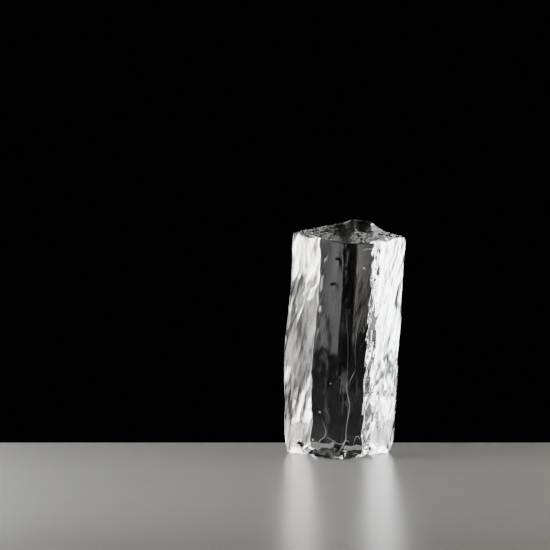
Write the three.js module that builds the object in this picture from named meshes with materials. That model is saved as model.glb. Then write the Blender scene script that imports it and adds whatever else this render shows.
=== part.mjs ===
// A block of clear ice: a tall square spear, hand cut, its faces rippled and its edges rounded by melting.
// It is one solid piece, with its front and back edges broken away in long flats and its foot chipped.
// Its axis leans a little towards +X, and its base is cut level for it to stand on.
// Millimetres, +Z up, origin at the middle of the level base, with the long faces square to X and Y.

import * as THREE from "three";
import { mergeVertices } from "three/addons/utils/BufferGeometryUtils.js";
import { ImprovedNoise } from "three/addons/math/ImprovedNoise.js";

// Driving dimensions of the block
const SIDE = 35; // width of each long face
const HEIGHT = 99; // level base to the middle of the top
const LEAN_DEG = 3.3; // how far the axis leans towards +X
const TOP_FALL = 3.1; // the top is lower by this at +X than at -X
const TOP_RISE = 0.9; // the top is higher by this at +Y than at -Y
const TOP_PEAK = 1.9; // and from its middle it climbs this much more to its back corner, at -X and +Y
const BACK_FLARE = 1.7; // the face at +Y stands further out by this at the top than at the base
const BULGE = 1.5; // the faces at -X and -Y swell by this, low down
const BULGE_HEIGHT_X = 36; // where the face at -X swells most
const BULGE_HEIGHT_Y = 50; // and where the face at -Y does
const BULGE_SPREAD = 22; // how far up and down that reaches
const EDGE_RADIUS = 0.8; // melted edges
const HALF = SIDE / 2;

// Relief that melting left on the long faces
const SWELL_SPACING = 17; // broad waves
const SWELL_DEPTH = 0.45;
const RIPPLE_SPACING = 3.6; // narrow hollows, side by side across a face
const RIPPLE_LENGTH = 10.5; // and stretched up it
const RIPPLE_DEPTH = 0.3;
const RIPPLE_SLANT_DEG = 18; // off the block's axis, towards +X or +Y on every face
const FOOT_FADE = 5; // the relief dies out this close above the base, which is flat

// The sawn top is crumbly on both sides of a smooth groove, which widens from the back edge to the front
// one, and it is smooth along its rim at -Y
const CRUMB_SPACING = 3.4;
const CRUMB_DEPTH = 1;
const GROOVE_DEPTH = 0.5;
const GROOVE_BACK = 1.2; // half its width at the back
const GROOVE_FRONT = 9; // half its width at the front
const GROOVE_SHIFT = 2.8; // how far its back end is from the corner there, towards the face at -X
const RIM_START = 3; // crumbs begin this far from the face at -Y
const RIM_END = 6.5; // and are whole from here

// A low smooth hump left standing along the back of the top, near the corner at -X and +Y
const HUMP_LOW = 1.6; // its height at the end near the corner
const HUMP_HIGH = 4.2; // and at the other end
const HUMP_START = 0.8; // its near end from the face at -X
const HUMP_LENGTH = 9.7; // half its length along X
const HUMP_WIDTH = 3; // half its width along Y
const HUMP_INSET = 4; // its crest from the back edge
const HUMP_SQUARENESS = 6; // even power of its fall along X: the higher, the steeper its ends

// The front edge, at +X and -Y, is broken away in a long flat
const FLAT_LEG_X = 3.4; // taken off the face at -Y
const FLAT_LEG_Y = 6.2; // taken off the face at +X, at the top
const FLAT_NARROWING = 1.6; // how much less is taken off at +X by the flat's foot
const FLAT_FOOT = 30; // height where the flat runs out
const FLAT_RUN_OUT = 14; // and over how much height it does so

// The back edge, at -X and +Y, is broken away too, in a flat that runs from the base to the top
const BACK_LEG_X = 2.4; // taken off the face at +Y
const BACK_LEG_Y = 8; // taken off the face at -X, at the top
const BACK_WIDENING = 1.5; // how much more is taken off at -X by the base

// Corners chipped at the foot: the leg taken off each edge that meets there
const FRONT_CHIP = { x: 11, y: 3.2, z: 8 };
const LEFT_CHIP = { x: 10, y: 2.2, z: 9 };
const RIGHT_CHIP = { x: 2.5, y: 8, z: 7 };

// Round flakes knocked out of the edges: the middle of each, and the width and depth of the hollow it left
const FLAKES = [
  { x: -9, y: -HALF, z: 0, width: 17, depth: 2.6 },
  { x: 4, y: -HALF, z: 0, width: 8, depth: 1.2 },
  { x: HALF, y: -7, z: 0, width: 8, depth: 1.3 },
  { x: HALF, y: 8, z: 0, width: 20, depth: 2.8 },
  { x: -HALF, y: 5, z: 0, width: 10, depth: 1.5 },
  { x: -5, y: HALF, z: 0, width: 9, depth: 1.4 },
  { x: HALF, y: HALF, z: 44, width: 10, depth: 0.9 },
  { x: -HALF, y: HALF, z: 67, width: 12, depth: 1.1 },
  { x: HALF, y: 6, z: HEIGHT, width: 9, depth: 1 },
  { x: -8, y: -HALF, z: HEIGHT, width: 8, depth: 0.8 },
];

// Grid on the faces, crowded towards the edges so that they come out round
const SIDE_STEPS = 20;
const HEIGHT_STEPS = 50;
const CROWDING = 1.12; // radians of the sine that spreads the grid lines

const ICE_COLOUR = 0xe9f1f3;
const ICE_ROUGHNESS = 0.05;
const LEAN = Math.tan(THREE.MathUtils.degToRad(LEAN_DEG));
const RIPPLE_SLANT = Math.tan(THREE.MathUtils.degToRad(RIPPLE_SLANT_DEG));
const MIDDLE = new THREE.Vector3(0, 0, HEIGHT / 2);
const noise = new ImprovedNoise();

// The box that the round edges are struck from
const core = new THREE.Box3(
  new THREE.Vector3(-HALF + EDGE_RADIUS, -HALF + EDGE_RADIUS, EDGE_RADIUS),
  new THREE.Vector3(HALF - EDGE_RADIUS, HALF - EDGE_RADIUS, HEIGHT - EDGE_RADIUS),
);

// The plane that takes a corner off, from the three points where it meets the corner's edges.
function chipPlane(a, b, c) {
  const plane = new THREE.Plane().setFromCoplanarPoints(a, b, c);
  return plane.distanceToPoint(MIDDLE) > 0 ? plane.negate() : plane;
}

// A chip at a foot corner, with its legs measured inwards from the corner and up from the base.
function footChip(sideX, sideY, leg) {
  const [x, y] = [sideX * HALF, sideY * HALF];
  return chipPlane(
    new THREE.Vector3(x - sideX * leg.x, y, 0),
    new THREE.Vector3(x, y - sideY * leg.y, 0),
    new THREE.Vector3(x, y, leg.z),
  );
}

// Which end of a span a place is at: -1 or 1, or 0 between them.
function endOf(place, low, high) {
  if (place <= low) return -1;
  return place >= high ? 1 : 0;
}

// The ball that fits a flake's hollow: it stands off the edge and dips into it by the hollow's depth.
function flakeBall({ x, y, z, width, depth }) {
  const outward = new THREE.Vector3(endOf(x, -HALF, HALF), endOf(y, -HALF, HALF), endOf(z, 0, HEIGHT));
  const radius = (width ** 2 / 4 + depth ** 2) / (2 * depth);
  const centre = new THREE.Vector3(x, y, z).addScaledVector(outward.normalize(), radius - depth);
  return new THREE.Sphere(centre, radius);
}

const frontFlat = chipPlane(
  new THREE.Vector3(HALF - FLAT_LEG_X, -HALF, HEIGHT),
  new THREE.Vector3(HALF, -HALF + FLAT_LEG_Y, HEIGHT),
  new THREE.Vector3(HALF, -HALF + FLAT_LEG_Y - FLAT_NARROWING, FLAT_FOOT),
);
const backFlat = chipPlane(
  new THREE.Vector3(-HALF + BACK_LEG_X, HALF, HEIGHT),
  new THREE.Vector3(-HALF, HALF - BACK_LEG_Y, HEIGHT),
  new THREE.Vector3(-HALF, HALF - BACK_LEG_Y - BACK_WIDENING, 0),
);
const chips = [
  backFlat,
  footChip(1, -1, FRONT_CHIP),
  footChip(-1, -1, LEFT_CHIP),
  footChip(1, 1, RIGHT_CHIP),
];
const flakes = FLAKES.map(flakeBall);

// Noise sampled on a grid of the given spacing, stretched upwards where length is given.
function noiseAt(point, spacing, length = spacing) {
  return noise.noise(point.x / spacing, point.y / spacing, point.z / length);
}

// Height of the long faces' relief at a point, with the ripples sliding sideways as they go up.
function sideRelief(point, outward) {
  const slide = RIPPLE_SLANT * point.z;
  const sideways = new THREE.Vector3(Math.abs(outward.y), Math.abs(outward.x), 0);
  const straightened = point.clone().addScaledVector(sideways, -slide);
  return (
    SWELL_DEPTH * noiseAt(point, SWELL_SPACING) +
    RIPPLE_DEPTH * noiseAt(straightened, RIPPLE_SPACING, RIPPLE_LENGTH)
  );
}

// Height of the top's relief at a point: crumbs, the groove between them and the hump along the back.
function topRelief(point) {
  const forward = (point.x - point.y) / 2 / SIDE + 0.5;
  const grooveWidth = THREE.MathUtils.lerp(GROOVE_BACK, GROOVE_FRONT, forward ** 2);
  const offGroove = ((point.x + point.y) / Math.SQRT2 + GROOVE_SHIFT * (1 - forward)) / grooveWidth;
  const groove = Math.exp(-(offGroove ** 2));
  const rim = THREE.MathUtils.smoothstep(point.y + HALF, RIM_START, RIM_END);
  const along = (point.x + HALF - HUMP_START - HUMP_LENGTH) / HUMP_LENGTH;
  const across = (point.y - HALF + HUMP_INSET) / HUMP_WIDTH;
  const hump = Math.exp(-(along ** HUMP_SQUARENESS) - across ** 2);
  const humpHeight = THREE.MathUtils.lerp(HUMP_LOW, HUMP_HIGH, (along + 1) / 2);
  const crumb = CRUMB_DEPTH * (1 - groove) * (1 - hump) * rim * noiseAt(point, CRUMB_SPACING);
  return humpHeight * hump - GROOVE_DEPTH * groove + crumb;
}

// A point of the sharp box, moved onto the rounded and rippled surface.
function meltedPoint(point) {
  const inside = core.clampPoint(point, new THREE.Vector3());
  const outward = point.clone().sub(inside).normalize();
  const side = Math.hypot(outward.x, outward.y);
  const top = Math.max(outward.z, 0);
  const relief = side * sideRelief(point, outward) + top * topRelief(point);
  const foot = THREE.MathUtils.smoothstep(point.z, 0, FOOT_FADE);
  return inside.addScaledVector(outward, EDGE_RADIUS + foot * relief);
}

// The flats, the chips and the flakes take off what stands in their way.
function brokenPoint(point) {
  const proud = Math.max(frontFlat.distanceToPoint(point), 0);
  const share = THREE.MathUtils.smoothstep(point.z, FLAT_FOOT, FLAT_FOOT + FLAT_RUN_OUT);
  point.addScaledVector(frontFlat.normal, -share * proud);
  for (const plane of chips) {
    if (plane.distanceToPoint(point) > 0) plane.projectPoint(point, point);
  }
  for (const ball of flakes) {
    if (ball.containsPoint(point)) point.sub(ball.center).setLength(ball.radius).add(ball.center);
  }
  return point;
}

// How far a face swells at a height, given where it swells most.
function bulgeAt(height, middle) {
  return BULGE * Math.exp(-(((height - middle) / BULGE_SPREAD) ** 2));
}

// The upright block swells and flares a little, leans over its level base, and its top tips out of level.
function leanedPoint(point) {
  const up = point.z / HEIGHT;
  const peak = TOP_PEAK * Math.max((point.y - point.x) / SIDE, 0);
  const tip = (TOP_RISE * point.y - TOP_FALL * point.x) / SIDE + peak;
  const widerX = point.x > 0 ? 0 : bulgeAt(point.z, BULGE_HEIGHT_X) / HALF;
  const widerY = (point.y > 0 ? BACK_FLARE * up : bulgeAt(point.z, BULGE_HEIGHT_Y)) / HALF;
  return point.set(point.x * (1 + widerX) + LEAN * point.z, point.y * (1 + widerY), point.z + up * tip);
}

// Spreads even grid steps from -1 to 1 so that they crowd towards the ends.
function crowded(step) {
  return Math.sin(CROWDING * step) / Math.sin(CROWDING);
}

function iceBlock() {
  const box = new THREE.BoxGeometry(2, 2, 2, SIDE_STEPS, SIDE_STEPS, HEIGHT_STEPS);
  box.deleteAttribute("normal");
  box.deleteAttribute("uv");
  const geometry = mergeVertices(box);
  const places = geometry.getAttribute("position");
  const point = new THREE.Vector3();
  for (let i = 0; i < places.count; i++) {
    point.fromBufferAttribute(places, i);
    point.set(HALF * crowded(point.x), HALF * crowded(point.y), (HEIGHT / 2) * (1 + crowded(point.z)));
    const finished = leanedPoint(brokenPoint(meltedPoint(point)));
    places.setXYZ(i, finished.x, finished.y, finished.z);
  }
  geometry.computeVertexNormals();
  const ice = new THREE.MeshStandardMaterial({ color: ICE_COLOUR, roughness: ICE_ROUGHNESS, metalness: 0 });
  const mesh = new THREE.Mesh(geometry, ice);
  mesh.name = "ice_block";
  return mesh;
}

const part = new THREE.Group();
part.add(iceBlock());

export default part;
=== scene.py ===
import math

import bmesh
import bpy
from mathutils import Matrix, Vector, noise
from mathutils.bvhtree import BVHTree


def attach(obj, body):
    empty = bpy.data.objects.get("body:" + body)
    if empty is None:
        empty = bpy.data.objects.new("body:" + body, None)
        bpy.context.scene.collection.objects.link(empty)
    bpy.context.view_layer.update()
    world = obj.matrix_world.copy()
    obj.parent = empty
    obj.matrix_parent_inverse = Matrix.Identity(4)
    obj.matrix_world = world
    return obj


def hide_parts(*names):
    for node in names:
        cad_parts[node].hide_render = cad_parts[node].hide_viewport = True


# A tall square block of clear ice, melting, on a plain pale floor in a dark studio.
# Metres, +Z up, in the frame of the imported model.

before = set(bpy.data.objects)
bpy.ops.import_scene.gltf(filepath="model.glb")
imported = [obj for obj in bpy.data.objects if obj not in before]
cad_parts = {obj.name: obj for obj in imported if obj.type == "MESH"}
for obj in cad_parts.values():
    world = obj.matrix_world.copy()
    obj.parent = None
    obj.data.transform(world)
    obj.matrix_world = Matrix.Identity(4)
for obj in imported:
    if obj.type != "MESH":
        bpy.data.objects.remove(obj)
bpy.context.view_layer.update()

MM = 0.001
UP = Vector((0, 0, 1))
IMAGE_SIDE = 550  # pixels

# Camera: where it looks from, and the pixel at which it sees the middle of the block's base
CAMERA_AZIMUTH = math.radians(45)
CAMERA_PITCH = math.radians(5.4)
CAMERA_DISTANCE = 1.8
CAMERA_VIEW = math.radians(7.86)
BASE_PIXEL = (338.9, 453)

# Light meets many faces inside the ice before it gets out
LIGHT_BOUNCES = 24
GLOSS_BOUNCES = 12

# Studio: a dark room, with diffusing screens beside and behind the block. A screen's angle goes round from
# the camera's side, to the right, and its low and high edges are measured from the table's top. It reaches
# so many degrees to each side of its middle and fades out over so many. It has its full glow above its dusk,
# which lies between two heights, and is dim below that.
ROOM_COLOUR = "#0A0A0B"
SCREEN_MIDDLE = 0.5  # share of its width
SCREEN_EDGE = 0.02  # share of its glow that is left at its edges
LEFT_SCREEN = {
    "angle": -68,
    "distance": 0.33,
    "reach": 55,
    "fade": 40,
    "low": -0.1,
    "high": 0.42,
    "radiance": 5.8,
    "colour": "#FDFEFF",
    "dusk": (-0.02, 0.005),
    "dim": 0.1,
}
RIGHT_SCREEN = {
    "angle": 69,
    "distance": 0.4,
    "reach": 55,
    "fade": 40,
    "low": -0.12,
    "high": 0.42,
    "radiance": 4.4,
    "colour": "#FFFBF6",
    "dusk": (-0.032, -0.002),
    "dim": 0.15,
}
LEFT_BACK_SCREEN = {
    "angle": -142,
    "distance": 0.5,
    "reach": 20,
    "fade": 18,
    "low": -0.1,
    "high": 0.4,
    "radiance": 2.5,
    "colour": "#FDFEFF",
    "dusk": (-0.1, 0),
    "dim": 1.0,
}
RIGHT_BACK_SCREEN = {**LEFT_BACK_SCREEN, "angle": 130, "reach": 14, "fade": 13}

# Table: how far it goes from the middle of the block's base. It ends a little behind the block, so that the
# dark room shows through the clear ice.
TABLE_NEAR = 1.2
TABLE_FAR = 0.035
TABLE_LEFT = 0.165
TABLE_RIGHT = 0.105
TABLE_GAP = 0.05 * MM  # under the block, so that the two share no plane

# Acrylic of the table: its gloss varies in patches of haze
ACRYLIC_COLOUR = "#A6A5A2"
ACRYLIC_IOR = 1.3
ACRYLIC_ROUGHNESS = (0.27, 0.33)
HAZE_PATCH = 25 * MM
HAZE_DETAIL = 3

# Ice: what it does to light, the streaks that are too fine for the mesh, and the wet film on it
ICE_COLOUR = "#FDFEFE"
ICE_IOR = 1.31
TINT_COLOUR = "#D3EAEE"
TINT_DENSITY = 0.6  # per metre
SHIMMER_SPACING = 0.7 * MM
SHIMMER_LENGTH = 5 * MM
SHIMMER_DEPTH = 0.012 * MM
SHIMMER_DETAIL = 2
SHIMMER_GRAIN = 0.55
FILM_PATCH = 9 * MM
FILM_DETAIL = 3
FILM_DULLING = (0.45, 0.75)  # noise at which the film begins to dull, and at which it is dullest
FILM_ROUGHNESS = 0.03

# The block, as the solid has it
HALF_SIDE = 17.5 * MM
LEAN = math.tan(math.radians(3.3))

# Smoothing of the solid's facets, with its hard edges kept crisp
WELD = 0.01 * MM
FLAT_JOIN = math.radians(40)
SQUARE_JOIN = math.radians(50)
CRISP_ANGLE = math.radians(17)
CRISPNESS = 0.75
SMOOTHING = 2

# Where the relief of the long faces and of the top begins and is whole, by how squarely a point faces out
# there or up
FACE_ON = (0.8, 0.97)
SAWN = (0.5, 0.8)
TOP_FACING = 0.9

# Melt relief of the long faces, finer than the solid's own: slanted scallops and streaks between them
MELT_SLANT = math.tan(math.radians(18))
SCALLOP_SPACING = 2.6 * MM
SCALLOP_LENGTH = 8 * MM
SCALLOP_DEPTH = 0.25 * MM
STREAK_SPACING = 1.4 * MM
STREAK_LENGTH = 5 * MM
STREAK_DEPTH = 0.11 * MM
RELIEF_SHARES = {"+X": 0.4, "-X": 0.3, "+Y": 0.65, "-Y": 0.4}  # how much of that relief each face has
FOOT_FADE = 4 * MM

# Shallow hollows of the left front face, which break up the gleam on it, in millimetres: how far the middle
# is from the front edge and how high, how far the hollow reaches across and up, and its depth
HOLLOWED_FACE = "-Y"
HOLLOWS = [
    {"across": 17.5, "height": 70, "width": 2.5, "length": 38, "depth": 0.4},
    {"across": 6.8, "height": 88, "width": 2.4, "length": 2.2, "depth": 0.5},
    {"across": 8.5, "height": 77, "width": 3.4, "length": 1.9, "depth": 0.46},
    {"across": 12, "height": 61, "width": 2.5, "length": 3.5, "depth": 0.5},
    {"across": 9.5, "height": 54, "width": 2, "length": 2.5, "depth": 0.35},
    {"across": 9, "height": 12, "width": 11, "length": 20, "depth": 0.8},
]

# Crumbs of the sawn top, clear on its left half and frosted on its right one, with a smooth groove between
# the halves and a smooth hump at the back
CRUMB_SPACING = 1.5 * MM
CRUMB_OCTAVES = 3
CRUMB_LEVEL = 0.5  # turbulence that neither raises nor lowers the top
LEFT_CRUMBS = {"depth": 1.3 * MM, "frost": 0.03}
RIGHT_CRUMBS = {"depth": 0.75 * MM, "frost": 0.15}
TOP_DIAGONAL = 49.5 * MM
GROOVE_BACK = 1.2 * MM  # half its width at the back
GROOVE_FRONT = 9 * MM  # and at the front
GROOVE_SHIFT = 2.8 * MM  # how far its back end is to the left of the corner there
HUMP_MIDDLE = Vector((-7 * MM, 14.8 * MM, 0))  # from the top's middle
HUMP_LENGTH = 9.7 * MM
HUMP_WIDTH = 3.5 * MM
HUMP_SQUARENESS = 6  # even power of its fall along X: the higher, the steeper its ends

# Cracks full of air, just under the front faces, as the front shows them: each bend's place to the right of
# the block's middle and its height, in millimetres. The open ones gleam, and the hairline ones hardly show.
OPEN_CRACKS = [
    [(3.1, 36.5), (2.9, 31.1), (3.4, 28.2), (4.1, 24.7), (3.6, 19.8), (2.9, 15.9), (2.5, 12), (2.4, 9)]
    + [(1, 6.1), (0.2, 4.1), (-1.3, 1.2)],
    [(3.4, 33.2), (5.2, 37), (7, 40.5)],
    [(-7.7, 17.6), (-5.9, 11.5), (-6.3, 10), (-8.9, 6.7), (-8.5, 4.3), (-10.9, 3.5)],
    [(-5.9, 9.9), (-2.3, 8.1), (0.7, 7.3), (1.6, 7.8)],
    [(0.6, 7.2), (2.4, 8.6), (4.6, 7.2)],
    [(5.8, 5.9), (7.6, 9.9), (9.2, 7.5)],
    [(9.9, 92.7), (11.6, 93.9), (14.4, 93.9), (15, 95.6), (14, 96.3)],
]
HAIRLINE_CRACKS = [
    [(2.4, 68.3), (3.2, 58.1), (3.5, 48.3), (3.2, 41.4), (3.1, 36)],
    [(8, 63.5), (7, 54.1), (6.5, 48.3), (7, 40)],
    [(7, 38.5), (7.5, 32.6), (6.5, 27.7)],
    [(2.6, 11.5), (5.1, 9)],
    [(9.2, 20), (8.8, 13.6)],
]
OPEN_RADIUS = 0.2 * MM
HAIRLINE_RADIUS = 0.06 * MM
CRACK_TIP = 0.2  # share of the radius at a crack's two ends
CRACK_WIDENING = 2  # share by which a crack is wider at the block's foot
WIDENING_HEIGHT = 12  # how far up that goes, in millimetres
CRACK_COVER = 1.2 * MM  # ice between a crack and the front
CRACK_FROST = 0.75  # how rough its walls are
CRACK_ROUNDNESS = 1  # bevel resolution of its section
CRACK_STEPS = 6  # from one bend to the next

# Bubbles there, given in the same way, with the radius of each
BUBBLES = [
    (10.4, 85.3, 0.7),
    (13.8, 78.3, 0.8),
    (-8.5, 20.4, 0.7),
    (11, 28, 0.7),
    (-11.5, 7.5, 0.6),
    (-3.7, 34, 0.5),
]
BUBBLE_ROUNDNESS = 3  # subdivisions of the ball


def linear(hex_colour):
    """An sRGB hex colour as linear red, green, blue and alpha."""
    channels = (int(hex_colour[i : i + 2], 16) / 255 for i in (1, 3, 5))
    return tuple(c / 12.92 if c <= 0.04045 else ((c + 0.055) / 1.055) ** 2.4 for c in channels) + (1.0,)


def add_node(tree, kind, settings=None, inputs=None, links=None):
    """Adds a node with its settings, input values and incoming links."""
    node = tree.nodes.new(kind)
    for name, value in (settings or {}).items():
        setattr(node, name, value)
    for name, value in (inputs or {}).items():
        node.inputs[name].default_value = value
    for name, socket in (links or {}).items():
        tree.links.new(socket, node.inputs[name])
    return node


def new_material(name):
    """An empty material with its output node."""
    material = bpy.data.materials.new(name)
    material.use_nodes = True
    material.node_tree.nodes.clear()
    return material, add_node(material.node_tree, "ShaderNodeOutputMaterial")


def clear_ice():
    """Clear ice, frozen slowly from one side, sawn and then melted wet.

    It bends light and hides nothing. Its wet faces gleam as if polished, with fine melt streaks that show
    only as a shimmer, and the sawn top is frosty with crumbs that scatter the light.
    """
    material, output = new_material("clear_ice_wet")
    tree = material.node_tree
    place = add_node(tree, "ShaderNodeTexCoord")

    # Fine streaks along the slant of the melt relief
    slant = Vector((MELT_SLANT, MELT_SLANT, 1)).to_track_quat("Z", "Y").to_euler()
    streaks = add_node(
        tree,
        "ShaderNodeMapping",
        {"vector_type": "TEXTURE"},
        {"Rotation": slant, "Scale": (SHIMMER_SPACING, SHIMMER_SPACING, SHIMMER_LENGTH)},
        {"Vector": place.outputs["Object"]},
    )
    shimmer = add_node(
        tree,
        "ShaderNodeTexNoise",
        inputs={"Scale": 1, "Detail": SHIMMER_DETAIL, "Roughness": SHIMMER_GRAIN},
        links={"Vector": streaks.outputs["Vector"]},
    )
    bump = add_node(
        tree,
        "ShaderNodeBump",
        inputs={"Strength": 1, "Distance": SHIMMER_DEPTH},
        links={"Height": shimmer.outputs["Fac"]},
    )

    # The wet film is a little uneven in patches, and frost roughens the top's crumbs and the cracks
    film = add_node(
        tree,
        "ShaderNodeTexNoise",
        inputs={"Scale": 1 / FILM_PATCH, "Detail": FILM_DETAIL},
        links={"Vector": place.outputs["Object"]},
    )
    dull, dullest = FILM_DULLING
    wet = add_node(
        tree,
        "ShaderNodeMapRange",
        inputs={"From Min": dull, "From Max": dullest, "To Min": 0, "To Max": FILM_ROUGHNESS},
        links={"Value": film.outputs["Fac"]},
    )
    frost = add_node(tree, "ShaderNodeAttribute", {"attribute_name": "frost"})
    rough = add_node(
        tree,
        "ShaderNodeMath",
        {"operation": "MAXIMUM"},
        links={0: wet.outputs["Result"], 1: frost.outputs["Fac"]},
    )
    surface = add_node(
        tree,
        "ShaderNodeBsdfPrincipled",
        inputs={"Base Color": linear(ICE_COLOUR), "IOR": ICE_IOR, "Transmission Weight": 1},
        links={"Roughness": rough.outputs["Value"], "Normal": bump.outputs["Normal"]},
    )
    tint = add_node(
        tree,
        "ShaderNodeVolumeAbsorption",
        inputs={"Color": linear(TINT_COLOUR), "Density": TINT_DENSITY},
    )
    tree.links.new(surface.outputs["BSDF"], output.inputs["Surface"])
    tree.links.new(tint.outputs["Volume"], output.inputs["Volume"])
    return material


def sanded_acrylic():
    """Pale grey acrylic sheet, cast and fine sanded: even, with a soft gloss and hardly any marks."""
    material, output = new_material("cast_acrylic_sanded")
    tree = material.node_tree
    place = add_node(tree, "ShaderNodeTexCoord")
    haze = add_node(
        tree,
        "ShaderNodeTexNoise",
        inputs={"Scale": 1 / HAZE_PATCH, "Detail": HAZE_DETAIL},
        links={"Vector": place.outputs["Object"]},
    )
    glossy, hazy = ACRYLIC_ROUGHNESS
    gloss = add_node(
        tree,
        "ShaderNodeMapRange",
        inputs={"To Min": glossy, "To Max": hazy},
        links={"Value": haze.outputs["Fac"]},
    )
    surface = add_node(
        tree,
        "ShaderNodeBsdfPrincipled",
        inputs={"Base Color": linear(ACRYLIC_COLOUR), "IOR": ACRYLIC_IOR},
        links={"Roughness": gloss.outputs["Result"]},
    )
    tree.links.new(surface.outputs["BSDF"], output.inputs["Surface"])
    return material


def towards(angle_deg):
    """The level direction at this angle round the block, from the camera's side towards its right."""
    turn = CAMERA_AZIMUTH + math.radians(angle_deg)
    return Vector((math.sin(turn), -math.cos(turn), 0))


def smoothstep(value, low, high):
    """Goes from 0 at low to 1 at high with no corners."""
    share = min(max((value - low) / (high - low), 0), 1)
    return share * share * (3 - 2 * share)


def face_name(normal):
    """The long face that a normal belongs to."""
    axis, part = ("X", normal.x) if abs(normal.x) > abs(normal.y) else ("Y", normal.y)
    return ("+" if part > 0 else "-") + axis


def stretched_noise(point, spacing, length):
    """Noise whose marks are this far apart across a face and this long up it."""
    return noise.noise(Vector((point.x / spacing, point.y / spacing, point.z / length)))


def melt_height(point, normal):
    """Height of the fine melt relief of a long face: scallops with sharp crests, and streaks."""
    slide = MELT_SLANT * point.z
    straight = Vector((point.x - slide * abs(normal.y), point.y - slide * abs(normal.x), point.z))
    scallop = stretched_noise(straight, SCALLOP_SPACING, SCALLOP_LENGTH)
    streak = stretched_noise(straight, STREAK_SPACING, STREAK_LENGTH)
    relief = STREAK_DEPTH * streak - SCALLOP_DEPTH * abs(scallop)
    return relief * RELIEF_SHARES[face_name(normal)]


def hollow_height(point, normal):
    """Height of the shallow hollows of the left front face: below nothing where it is hollow."""
    if face_name(normal) != HOLLOWED_FACE:
        return 0
    across = HALF_SIDE + (LEAN * point.z - point.x)
    height = 0
    for hollow in HOLLOWS:
        off_across = (across / MM - hollow["across"]) / hollow["width"]
        off_height = (point.z / MM - hollow["height"]) / hollow["length"]
        height -= hollow["depth"] * MM * math.exp(-(off_across**2) - off_height**2)
    return height


def crumbly_share(away):
    """How crumbly the sawn top is, away from its middle: not at all in its groove or on its hump."""
    forward = (away.x - away.y) / math.sqrt(2) / TOP_DIAGONAL + 0.5
    groove_width = GROOVE_BACK + (GROOVE_FRONT - GROOVE_BACK) * forward**2
    off_groove = ((away.x + away.y) / math.sqrt(2) + GROOVE_SHIFT * (1 - forward)) / groove_width
    off_hump = away - HUMP_MIDDLE
    hump = math.exp(-((off_hump.x / HUMP_LENGTH) ** HUMP_SQUARENESS) - (off_hump.y / HUMP_WIDTH) ** 2)
    return (1 - math.exp(-(off_groove**2))) * (1 - hump)


def smooth_form(mesh):
    """The solid's faces in squares, subdivided smooth, with its hard edges kept crisp."""
    form = bmesh.new()
    form.from_mesh(mesh)
    bmesh.ops.remove_doubles(form, verts=form.verts, dist=WELD)
    bmesh.ops.join_triangles(
        form, faces=form.faces, angle_face_threshold=FLAT_JOIN, angle_shape_threshold=SQUARE_JOIN
    )
    crisp = form.edges.layers.float.new("crease_edge")
    for edge in form.edges:
        if edge.calc_face_angle(0) > CRISP_ANGLE:
            edge[crisp] = CRISPNESS
    form.to_mesh(mesh)
    form.free()
    piece = bpy.data.objects.new("melted_ice_block", mesh)
    bpy.context.scene.collection.objects.link(piece)
    smooth = piece.modifiers.new("smooth", "SUBSURF")
    smooth.levels = SMOOTHING
    smooth.render_levels = SMOOTHING
    bpy.context.view_layer.update()
    piece.data = bpy.data.meshes.new_from_object(piece.evaluated_get(bpy.context.evaluated_depsgraph_get()))
    piece.data.name = "melted_ice_block"
    piece.modifiers.clear()
    return piece


def melt_and_saw(mesh):
    """Gives the long faces their melt relief and the top its crumbs, and returns how frosty each point is."""
    top = [vertex.co for vertex in mesh.vertices if vertex.normal.z > TOP_FACING]
    middle = sum(top, Vector()) / len(top)
    normals = [vertex.normal.copy() for vertex in mesh.vertices]
    frost = []
    for vertex, normal in zip(mesh.vertices, normals):
        point = vertex.co
        face_on = smoothstep(max(abs(normal.x), abs(normal.y)), *FACE_ON)
        foot = smoothstep(point.z, 0, FOOT_FADE)
        crumbly = smoothstep(normal.z, *SAWN) * crumbly_share(point - middle)
        crumbs = RIGHT_CRUMBS if (point - middle).dot(towards(90)) > 0 else LEFT_CRUMBS
        turbulence = noise.turbulence(point / CRUMB_SPACING, CRUMB_OCTAVES, True)
        crumb = crumbs["depth"] * (turbulence - CRUMB_LEVEL)
        melt = melt_height(point, normal) + hollow_height(point, normal)
        vertex.co += normal * (face_on * foot * melt + crumbly * crumb)
        vertex.co.z = max(vertex.co.z, 0)
        frost.append(crumbly * crumbs["frost"])
    return frost


def under_skin(skin, side, height, cover):
    """The place this far under the block's front, as seen at this many millimetres to the right and up."""
    eye = towards(0) * CAMERA_DISTANCE + towards(90) * side * MM + UP * (height * MM)
    hit = skin.ray_cast(eye, -towards(0))[0]
    return hit - towards(0) * cover


def crack_tubes(skin, cracks, radius):
    """Mesh of some cracks: slender tubes that run to a point at both ends and open wider low down."""
    curve = bpy.data.curves.new("cracks", "CURVE")
    curve.dimensions = "3D"
    curve.bevel_depth = radius
    curve.bevel_resolution = CRACK_ROUNDNESS
    curve.resolution_u = CRACK_STEPS
    curve.use_fill_caps = True
    for bends in cracks:
        crack = curve.splines.new("BEZIER")
        crack.bezier_points.add(len(bends) - 1)
        for point, (side, height) in zip(crack.bezier_points, bends):
            point.co = under_skin(skin, side, height, CRACK_COVER)
            point.handle_left_type = "AUTO"
            point.handle_right_type = "AUTO"
            point.radius = 1 + CRACK_WIDENING * max(1 - height / WIDENING_HEIGHT, 0)
        crack.bezier_points[0].radius = CRACK_TIP
        crack.bezier_points[-1].radius = CRACK_TIP
    tubes = bpy.data.objects.new("cracks", curve)
    bpy.context.scene.collection.objects.link(tubes)
    bpy.context.view_layer.update()
    mesh = bpy.data.meshes.new_from_object(tubes.evaluated_get(bpy.context.evaluated_depsgraph_get()))
    bpy.data.objects.remove(tubes)
    bpy.data.curves.remove(curve)
    return mesh


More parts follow.
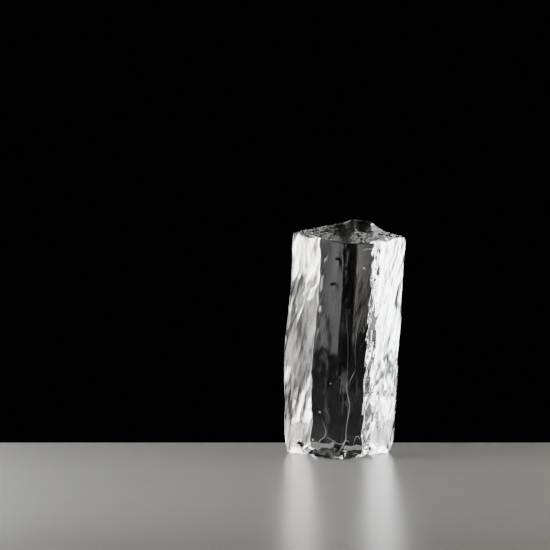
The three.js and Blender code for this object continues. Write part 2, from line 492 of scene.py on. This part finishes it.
def add_air(mesh):
    """Adds the cracks and bubbles to the ice as closed hollows, with their faces turned in to the air."""
    form = bmesh.new()
    form.from_mesh(mesh)
    skin = BVHTree.FromBMesh(form)
    ice_faces = len(form.faces)
    ice_points = len(form.verts)
    form.from_mesh(crack_tubes(skin, OPEN_CRACKS, OPEN_RADIUS))
    form.from_mesh(crack_tubes(skin, HAIRLINE_CRACKS, HAIRLINE_RADIUS))
    for side, height, radius in BUBBLES:
        middle = under_skin(skin, side, height, CRACK_COVER + radius * MM)
        bmesh.ops.create_icosphere(
            form, subdivisions=BUBBLE_ROUNDNESS, radius=radius * MM, matrix=Matrix.Translation(middle)
        )
    form.faces.ensure_lookup_table()
    bmesh.ops.reverse_faces(form, faces=form.faces[ice_faces:])
    form.verts.ensure_lookup_table()
    bmesh.ops.remove_doubles(form, verts=form.verts[ice_points:], dist=WELD)
    form.to_mesh(mesh)
    form.free()


def ice_block():
    """The melted block: the solid's form made smooth, with the fine relief that melting and sawing leave."""
    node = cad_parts["ice_block"]
    piece = smooth_form(node.data.copy())
    mesh = piece.data
    frost = melt_and_saw(mesh)
    add_air(mesh)
    frost += [CRACK_FROST] * (len(mesh.vertices) - len(frost))
    mesh.attributes.new("frost", "FLOAT", "POINT").data.foreach_set("value", frost)
    mesh.shade_smooth()
    mesh.materials.clear()
    mesh.materials.append(clear_ice())
    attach(piece, "root")
    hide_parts("ice_block")


def floor():
    """A pale sheet that ends a little behind the block, as a table does."""
    corners = [
        towards(0) * TABLE_NEAR + towards(90) * TABLE_RIGHT,
        towards(180) * TABLE_FAR + towards(90) * TABLE_RIGHT,
        towards(180) * TABLE_FAR + towards(-90) * TABLE_LEFT,
        towards(0) * TABLE_NEAR + towards(-90) * TABLE_LEFT,
    ]
    form = bmesh.new()
    form.faces.new([form.verts.new(corner) for corner in corners])
    mesh = bpy.data.meshes.new("floor")
    form.to_mesh(mesh)
    form.free()
    piece = bpy.data.objects.new("floor", mesh)
    bpy.context.scene.collection.objects.link(piece)
    piece.location.z = -TABLE_GAP
    mesh.materials.append(sanded_acrylic())


def screen(name, angle, distance, reach, fade, low, high, radiance, colour, dusk, dim):
    """An upright diffusing screen that faces the block from this angle, brightest in its middle."""
    middle = towards(angle)
    half_width = math.tan(math.radians(reach))
    light = bpy.data.lights.new(name, "AREA")
    light.shape = "RECTANGLE"
    light.size = 2 * distance * half_width
    light.size_y = high - low
    light.energy = radiance * math.pi * light.size * light.size_y
    light.use_nodes = True
    tree = light.node_tree

    # The glow falls off sideways from the middle
    geometry = add_node(tree, "ShaderNodeNewGeometry")
    place = add_node(tree, "ShaderNodeSeparateXYZ", links={"Vector": geometry.outputs["Parametric"]})
    off = add_node(
        tree,
        "ShaderNodeMath",
        {"operation": "SUBTRACT"},
        {1: SCREEN_MIDDLE},
        {0: place.outputs["X"]},
    )
    away = add_node(tree, "ShaderNodeMath", {"operation": "ABSOLUTE"}, links={0: off.outputs["Value"]})
    faded = math.tan(math.radians(fade)) / half_width / 2
    glow = add_node(
        tree,
        "ShaderNodeMapRange",
        {"interpolation_type": "SMOOTHSTEP"},
        {"From Min": 0, "From Max": faded, "To Min": 1, "To Max": SCREEN_EDGE},
        {"Value": away.outputs["Value"]},
    )

    # And it rises through the dusk
    dusk_low, dusk_high = ((height - low) / (high - low) for height in dusk)
    rise = add_node(
        tree,
        "ShaderNodeMapRange",
        {"interpolation_type": "SMOOTHSTEP"},
        {"From Min": dusk_low, "From Max": dusk_high, "To Min": dim, "To Max": 1},
        {"Value": place.outputs["Y"]},
    )
    strength = add_node(
        tree,
        "ShaderNodeMath",
        {"operation": "MULTIPLY"},
        links={0: glow.outputs["Result"], 1: rise.outputs["Result"]},
    )
    emission = tree.nodes["Emission"]
    emission.inputs["Color"].default_value = linear(colour)
    tree.links.new(strength.outputs["Value"], emission.inputs["Strength"])
    lamp = bpy.data.objects.new(name, light)
    lamp.location = middle * distance + UP * ((low + high) / 2)
    lamp.rotation_euler = middle.to_track_quat("Z", "Y").to_euler()
    lamp.visible_camera = False
    bpy.context.scene.collection.objects.link(lamp)


def studio():
    """A dark room with a diffusing screen on each side, and a narrow one behind each of those."""
    world = bpy.data.worlds.new("dark_room")
    world.use_nodes = True
    world.node_tree.nodes["Background"].inputs["Color"].default_value = linear(ROOM_COLOUR)
    bpy.context.scene.world = world
    screen("left_screen", **LEFT_SCREEN)
    screen("right_screen", **RIGHT_SCREEN)
    screen("left_back_screen", **LEFT_BACK_SCREEN)
    screen("right_back_screen", **RIGHT_BACK_SCREEN)


def camera():
    """The camera, looking a little down at the block's front edge."""
    back = towards(0) * math.cos(CAMERA_PITCH) + UP * math.sin(CAMERA_PITCH)
    right = towards(90)
    up = back.cross(right)
    pixel = 2 * CAMERA_DISTANCE * math.tan(CAMERA_VIEW / 2) / IMAGE_SIDE
    across = (BASE_PIXEL[0] - IMAGE_SIDE / 2) * pixel
    down = (BASE_PIXEL[1] - IMAGE_SIDE / 2) * pixel
    eye = back * CAMERA_DISTANCE - right * across + up * down
    data = bpy.data.cameras.new("camera")
    data.sensor_fit = "HORIZONTAL"
    data.angle = CAMERA_VIEW
    piece = bpy.data.objects.new("camera", data)
    piece.matrix_world = Matrix.Translation(eye) @ Matrix((right, up, back)).transposed().to_4x4()
    bpy.context.scene.collection.objects.link(piece)
    bpy.context.scene.camera = piece


camera()
floor()
studio()
ice_block()

scene = bpy.context.scene
scene.view_settings.view_transform = "AgX"
scene.view_settings.look = "AgX - Medium High Contrast"
scene.cycles.max_bounces = LIGHT_BOUNCES
scene.cycles.transmission_bounces = LIGHT_BOUNCES
scene.cycles.glossy_bounces = GLOSS_BOUNCES
